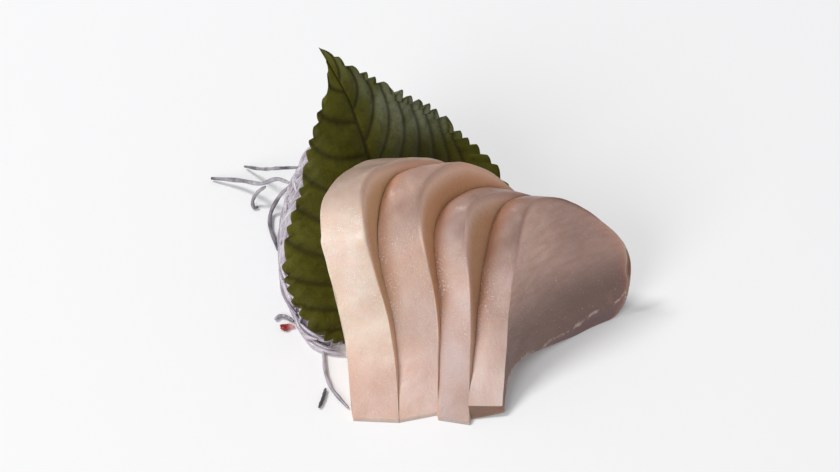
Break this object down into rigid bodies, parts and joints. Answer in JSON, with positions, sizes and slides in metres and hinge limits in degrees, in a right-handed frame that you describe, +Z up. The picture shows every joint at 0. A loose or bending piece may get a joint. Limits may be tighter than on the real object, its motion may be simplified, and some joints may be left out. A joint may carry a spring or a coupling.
{
  "type": "sashimi plate",
  "caption": "Thick slices of raw white fish fanned against a perilla leaf and a heap of shredded garnish, with loose shreds beside it; no dish.",
  "frame": {"origin": "centre of the bounding box's bottom face, on the table", "axes": "+Z up; the slices' thin ends face -Y; the leaf and the heap stand on the +Y side; the open cut face of the last slice faces +X"},
  "size_m": [0.0982, 0.0846, 0.0576],
  "materials": {
    "fish": "moist raw white fish flesh",
    "leaf": "soft matt green leaf",
    "shreds": "moist translucent shredded vegetable",
    "stray_shred": "moist darker shreds"
  },
  "bodies": {
    "root": {"slice_1": "fish", "slice_2": "fish", "slice_3": "fish", "slice_4": "fish", "leaf": "leaf", "garnish_heap": "shreds", "thread_1": "stray_shred", "thread_2": "stray_shred", "thread_3": "stray_shred", "thread_4": "stray_shred", "thread_5": "stray_shred", "thread_6": "stray_shred", "thread_7": "stray_shred"}
  },
  "joints": []
}
